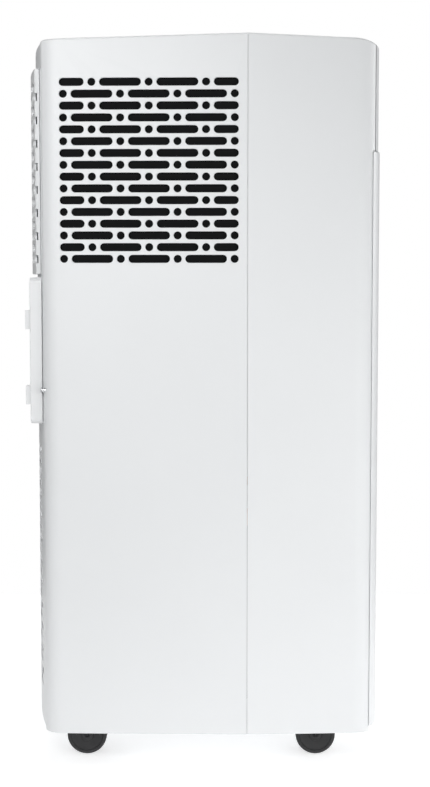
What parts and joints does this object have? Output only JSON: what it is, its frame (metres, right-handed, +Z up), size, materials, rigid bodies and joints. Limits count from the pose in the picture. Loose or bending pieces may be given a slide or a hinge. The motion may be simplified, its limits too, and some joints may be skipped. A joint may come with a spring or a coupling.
{
  "type": "portable air conditioner",
  "caption": "Upright portable air conditioner: white two-shell casing with perforated sides, flap outlet, rear intake lid and exhaust port, on twin-wheel castors.",
  "frame": {"origin": "on the floor, under the middle of the whole machine", "axes": "+Z up, the front with the air outlet faces -Y, the exhaust port faces +Y"},
  "size_m": [0.305, 0.341, 0.69],
  "materials": {
    "white_shell": "white ABS, satin, very fine moulded grain",
    "white_trim": "white ABS, satin",
    "grey_plastic": "light grey moulded plastic",
    "black_rubber": "black, matte",
    "black_plastic": "black moulded nylon",
    "steel": "zinc-plated steel",
    "filter_mesh": "dark woven nylon mesh",
    "display_lens": "smoked gloss lens",
    "circuit_board": "green circuit board",
    "black_paint": "black baked enamel",
    "coil_fins": "bare aluminium fins",
    "zinc_sheet": "galvanised sheet",
    "copper_pipe": "bare copper tube"
  },
  "bodies": {
    "casing": {"side_filter_left": "filter_mesh", "side_filter_right": "filter_mesh", "rear_shell": "white_shell", "front_shell": "white_shell", "front_panel": "white_shell", "front_bezel": "white_shell", "duct_frame": "white_trim", "duct_screw_left": "steel", "duct_screw_right": "steel", "cord_gland": "grey_plastic", "control_panel": "grey_plastic", "display_lens": "display_lens", "control_board": "circuit_board", "base_tray": "grey_plastic", "divider_tray": "grey_plastic", "compressor": "black_paint", "condenser_coil": "coil_fins", "evaporator_coil": "coil_fins", "condenser_fan_housing": "grey_plastic", "condenser_fan_motor": "zinc_sheet", "exhaust_duct": "grey_plastic", "evaporator_fan_housing": "grey_plastic", "evaporator_fan_motor": "zinc_sheet", "electrical_box": "zinc_sheet", "discharge_pipe": "copper_pipe", "suction_pipe": "copper_pipe"},
    "flap": {"louver_flap": "white_trim"},
    "link": {"vane_link": "grey_plastic"},
    "intake_lid": {"intake_grille": "white_trim", "air_filter": "filter_mesh"},
    "drain_plug": {"drain_plug": "black_rubber"},
    "condenser_fan": {"condenser_fan_wheel": "black_plastic"},
    "evaporator_fan": {"evaporator_fan_drum": "black_plastic"},
    "vane_1": {"air_vane_1": "grey_plastic"},
    "vane_2": {"air_vane_2": "grey_plastic"},
    "vane_3": {"air_vane_3": "grey_plastic"},
    "vane_4": {"air_vane_4": "grey_plastic"},
    "vane_5": {"air_vane_5": "grey_plastic"},
    "button_timer": {"button_timer": "white_trim"},
    "button_mode": {"button_mode": "white_trim"},
    "button_power": {"button_power": "white_trim"},
    "button_temp_down": {"button_temp_down": "white_trim"},
    "button_temp_up": {"button_temp_up": "white_trim"},
    "button_fan_speed": {"button_fan_speed": "white_trim"},
    "castor_front_left": {"castor_yoke_front_left": "black_plastic", "castor_axle_front_left": "steel"},
    "wheel_outer_front_left": {"castor_wheel_outer_front_left": "black_rubber"},
    "wheel_inner_front_left": {"castor_wheel_inner_front_left": "black_rubber"},
    "castor_front_right": {"castor_yoke_front_right": "black_plastic", "castor_axle_front_right": "steel"},
    "wheel_outer_front_right": {"castor_wheel_outer_front_right": "black_rubber"},
    "wheel_inner_front_right": {"castor_wheel_inner_front_right": "black_rubber"},
    "castor_rear_left": {"castor_yoke_rear_left": "black_plastic", "castor_axle_rear_left": "steel"},
    "wheel_outer_rear_left": {"castor_wheel_outer_rear_left": "black_rubber"},
    "wheel_inner_rear_left": {"castor_wheel_inner_rear_left": "black_rubber"},
    "castor_rear_right": {"castor_yoke_rear_right": "black_plastic", "castor_axle_rear_right": "steel"},
    "wheel_outer_rear_right": {"castor_wheel_outer_rear_right": "black_rubber"},
    "wheel_inner_rear_right": {"castor_wheel_inner_rear_right": "black_rubber"}
  },
  "joints": [
    {"name": "flap_swing", "type": "hinge", "parent": "casing", "child": "flap", "pos_m": [0, -0.1676, 0.604], "axis": [1, 0, 0], "range_deg": [0, 75]},
    {"name": "link_slide", "type": "slide", "parent": "casing", "child": "link", "axis": [1, 0, 0], "range_m": [-0.0047, 0.0047]},
    {"name": "vane_1_swing", "type": "hinge", "parent": "casing", "child": "vane_1", "pos_m": [-0.0832, -0.14, 0.63], "axis": [0, 0, 1], "range_deg": [-30, 30]},
    {"name": "vane_2_swing", "type": "hinge", "parent": "casing", "child": "vane_2", "pos_m": [-0.0416, -0.14, 0.63], "axis": [0, 0, 1], "range_deg": [-30, 30]},
    {"name": "vane_3_swing", "type": "hinge", "parent": "casing", "child": "vane_3", "pos_m": [0, -0.14, 0.63], "axis": [0, 0, 1], "range_deg": [-30, 30]},
    {"name": "vane_4_swing", "type": "hinge", "parent": "casing", "child": "vane_4", "pos_m": [0.0416, -0.14, 0.63], "axis": [0, 0, 1], "range_deg": [-30, 30]},
    {"name": "vane_5_swing", "type": "hinge", "parent": "casing", "child": "vane_5", "pos_m": [0.0832, -0.14, 0.63], "axis": [0, 0, 1], "range_deg": [-30, 30]},
    {"name": "press_timer", "type": "slide", "parent": "casing", "child": "button_timer", "axis": [0, 0.0367, -0.9993], "range_m": [0, 0.001], "stiffness_N_per_m": 400},
    {"name": "press_mode", "type": "slide", "parent": "casing", "child": "button_mode", "axis": [0, 0.0367, -0.9993], "range_m": [0, 0.001], "stiffness_N_per_m": 400},
    {"name": "press_power", "type": "slide", "parent": "casing", "child": "button_power", "axis": [0, 0.0367, -0.9993], "range_m": [0, 0.001], "stiffness_N_per_m": 400},
    {"name": "press_temp_down", "type": "slide", "parent": "casing", "child": "button_temp_down", "axis": [0, 0.0367, -0.9993], "range_m": [0, 0.001], "stiffness_N_per_m": 400},
    {"name": "press_temp_up", "type": "slide", "parent": "casing", "child": "button_temp_up", "axis": [0, 0.0367, -0.9993], "range_m": [0, 0.001], "stiffness_N_per_m": 400},
    {"name": "press_fan_speed", "type": "slide", "parent": "casing", "child": "button_fan_speed", "axis": [0, 0.0367, -0.9993], "range_m": [0, 0.001], "stiffness_N_per_m": 400},
    {"name": "intake_pull", "type": "slide", "parent": "casing", "child": "intake_lid", "axis": [0, 1, 0], "range_m": [0, 0.06]},
    {"name": "drain_plug_pull", "type": "slide", "parent": "casing", "child": "drain_plug", "axis": [0, 1, 0], "range_m": [0, 0.025]},
    {"name": "condenser_fan_spin", "type": "hinge", "parent": "casing", "child": "condenser_fan", "pos_m": [-0.008, 0.07, 0.226], "axis": [0, 1, 0], "continuous": true},
    {"name": "evaporator_fan_spin", "type": "hinge", "parent": "casing", "child": "evaporator_fan", "pos_m": [0, -0.06, 0.612], "axis": [1, 0, 0], "continuous": true},
    {"name": "castor_swivel_front_left", "type": "hinge", "parent": "casing", "child": "castor_front_left", "pos_m": [0.112, -0.1225, 0.04], "axis": [0, 0, 1], "continuous": true},
    {"name": "wheel_spin_outer_front_left", "type": "hinge", "parent": "castor_front_left", "child": "wheel_outer_front_left", "pos_m": [0.112, -0.1125, 0.01925], "axis": [1, 0, 0], "continuous": true},
    {"name": "wheel_spin_inner_front_left", "type": "hinge", "parent": "castor_front_left", "child": "wheel_inner_front_left", "pos_m": [0.112, -0.1125, 0.01925], "axis": [1, 0, 0], "continuous": true},
    {"name": "castor_swivel_front_right", "type": "hinge", "parent": "casing", "child": "castor_front_right", "pos_m": [-0.112, -0.1225, 0.04], "axis": [0, 0, 1], "continuous": true},
    {"name": "wheel_spin_outer_front_right", "type": "hinge", "parent": "castor_front_right", "child": "wheel_outer_front_right", "pos_m": [-0.112, -0.1125, 0.01925], "axis": [1, 0, 0], "continuous": true},
    {"name": "wheel_spin_inner_front_right", "type": "hinge", "parent": "castor_front_right", "child": "wheel_inner_front_right", "pos_m": [-0.112, -0.1125, 0.01925], "axis": [1, 0, 0], "continuous": true},
    {"name": "castor_swivel_rear_left", "type": "hinge", "parent": "casing", "child": "castor_rear_left", "pos_m": [0.112, 0.1005, 0.04], "axis": [0, 0, 1], "continuous": true},
    {"name": "wheel_spin_outer_rear_left", "type": "hinge", "parent": "castor_rear_left", "child": "wheel_outer_rear_left", "pos_m": [0.112, 0.1105, 0.01925], "axis": [1, 0, 0], "continuous": true},
    {"name": "wheel_spin_inner_rear_left", "type": "hinge", "parent": "castor_rear_left", "child": "wheel_inner_rear_left", "pos_m": [0.112, 0.1105, 0.01925], "axis": [1, 0, 0], "continuous": true},
    {"name": "castor_swivel_rear_right", "type": "hinge", "parent": "casing", "child": "castor_rear_right", "pos_m": [-0.112, 0.1005, 0.04], "axis": [0, 0, 1], "continuous": true},
    {"name": "wheel_spin_outer_rear_right", "type": "hinge", "parent": "castor_rear_right", "child": "wheel_outer_rear_right", "pos_m": [-0.112, 0.1105, 0.01925], "axis": [1, 0, 0], "continuous": true},
    {"name": "wheel_spin_inner_rear_right", "type": "hinge", "parent": "castor_rear_right", "child": "wheel_inner_rear_right", "pos_m": [-0.112, 0.1105, 0.01925], "axis": [1, 0, 0], "continuous": true}
  ],
  "couplings": [
    {"joint": "vane_1_swing", "follows": "link_slide", "rad_per_m": -111.11},
    {"joint": "vane_2_swing", "follows": "link_slide", "rad_per_m": -111.11},
    {"joint": "vane_3_swing", "follows": "link_slide", "rad_per_m": -111.11},
    {"joint": "vane_4_swing", "follows": "link_slide", "rad_per_m": -111.11},
    {"joint": "vane_5_swing", "follows": "link_slide", "rad_per_m": -111.11}
  ]
}
